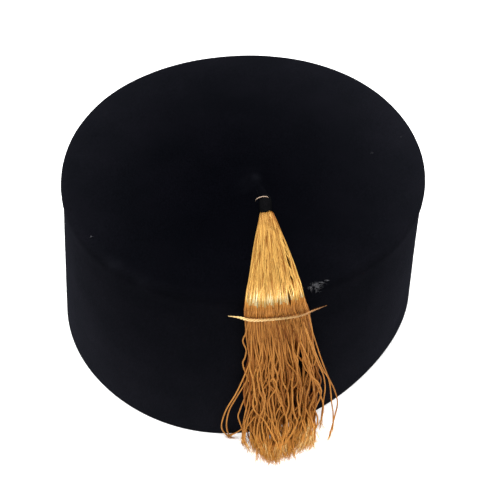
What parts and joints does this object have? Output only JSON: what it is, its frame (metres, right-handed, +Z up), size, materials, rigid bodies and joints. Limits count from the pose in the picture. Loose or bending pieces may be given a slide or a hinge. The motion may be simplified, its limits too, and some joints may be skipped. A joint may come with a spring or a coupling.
{
  "type": "fez hat",
  "caption": "Low black felt fez, open below, with a gold tassel that lies over the flat top, bends at the rim and hangs down the front.",
  "frame": {"origin": "middle of the footprint of the hat and its tassel, on the surface that the open edge rests on", "axes": "+Z up through the top, -Y towards the front where the tassel hangs, +X to the right seen from the front"},
  "size_m": [0.1906, 0.2108, 0.1008],
  "materials": {
    "felt": "short napped black felt with a soft sheen at the edges",
    "felt_cord": "black felt cord",
    "wound_thread": "black thread wound in close turns",
    "loop_thread": "thin pale gold thread",
    "tassel_yarn": "gold rayon yarn with a satin lustre",
    "stay_thread": "twisted gold thread"
  },
  "bodies": {
    "root": {"crown": "felt", "crown_stem": "felt_cord", "tassel_neck": "wound_thread", "neck_loop": "loop_thread", "tassel_skirt": "tassel_yarn", "tassel_stay": "stay_thread"}
  },
  "joints": []
}
